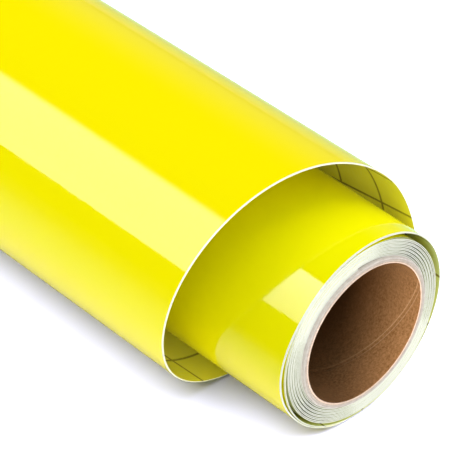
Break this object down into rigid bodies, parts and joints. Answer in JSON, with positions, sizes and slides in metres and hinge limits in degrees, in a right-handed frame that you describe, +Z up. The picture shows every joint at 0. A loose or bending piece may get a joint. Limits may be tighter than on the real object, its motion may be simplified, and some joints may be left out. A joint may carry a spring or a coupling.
{
  "type": "roll of sign vinyl",
  "caption": "Roll of gloss adhesive sign vinyl on a paper core, lying on its side, with a slack outer turn that has slipped back along the roll.",
  "frame": {"origin": "on the axis of the core's bore, at the middle of the core's length", "axes": "+X along the core's axis to the near end, from which the slack turn stands back; +Z up; +Y towards the flat tail, on the right as seen from the near end"},
  "size_m": [0.3346, 0.0822, 0.0612],
  "materials": {
    "vinyl_film": "high gloss bright yellow",
    "release_liner": "silicone-coated paper, satin, with a printed measuring grid",
    "kraft_ply": "raw brown kraft paper",
    "grey_board": "raw grey-pink paperboard",
    "tape": "thin double-sided tape"
  },
  "bodies": {
    "outer_turn": {"outer_turn_film": "vinyl_film", "outer_turn_liner": "release_liner", "floor_run_film": "vinyl_film", "floor_run_liner": "release_liner", "crossing_film": "vinyl_film", "crossing_liner": "release_liner"},
    "loose_wrap": {"wrap_film": "vinyl_film", "wrap_liner": "release_liner", "lead_film": "vinyl_film", "lead_liner": "release_liner"},
    "wound_core": {"core_inner_ply": "kraft_ply", "core_middle_ply": "grey_board", "core_outer_ply": "grey_board", "start_tape": "tape", "pack_film": "vinyl_film", "pack_liner": "release_liner"},
    "tail": {"tail_film": "vinyl_film", "tail_liner": "release_liner"},
    "liner_flap": {"peel_liner": "release_liner"}
  },
  "joints": [
    {"name": "telescope", "type": "slide", "parent": "outer_turn", "child": "loose_wrap", "axis": [1, 0, 0], "range_m": [-0.018, 0.03], "deforming": ["crossing_film", "crossing_liner"]},
    {"name": "core_turn", "type": "hinge", "parent": "loose_wrap", "child": "wound_core", "pos_m": [0, 0, 0], "axis": [1, 0, 0], "range_deg": [-20, 10], "deforming": ["lead_film", "lead_liner"]},
    {"name": "tail_lift", "type": "hinge", "parent": "outer_turn", "child": "tail", "pos_m": [-0.03, 0.03, -0.02357], "axis": [1, 0, 0], "range_deg": [0, 45]},
    {"name": "liner_peel", "type": "hinge", "parent": "tail", "child": "liner_flap", "pos_m": [-0.03, 0.036, -0.02357], "axis": [1, 0, 0], "range_deg": [0, 120]}
  ]
}
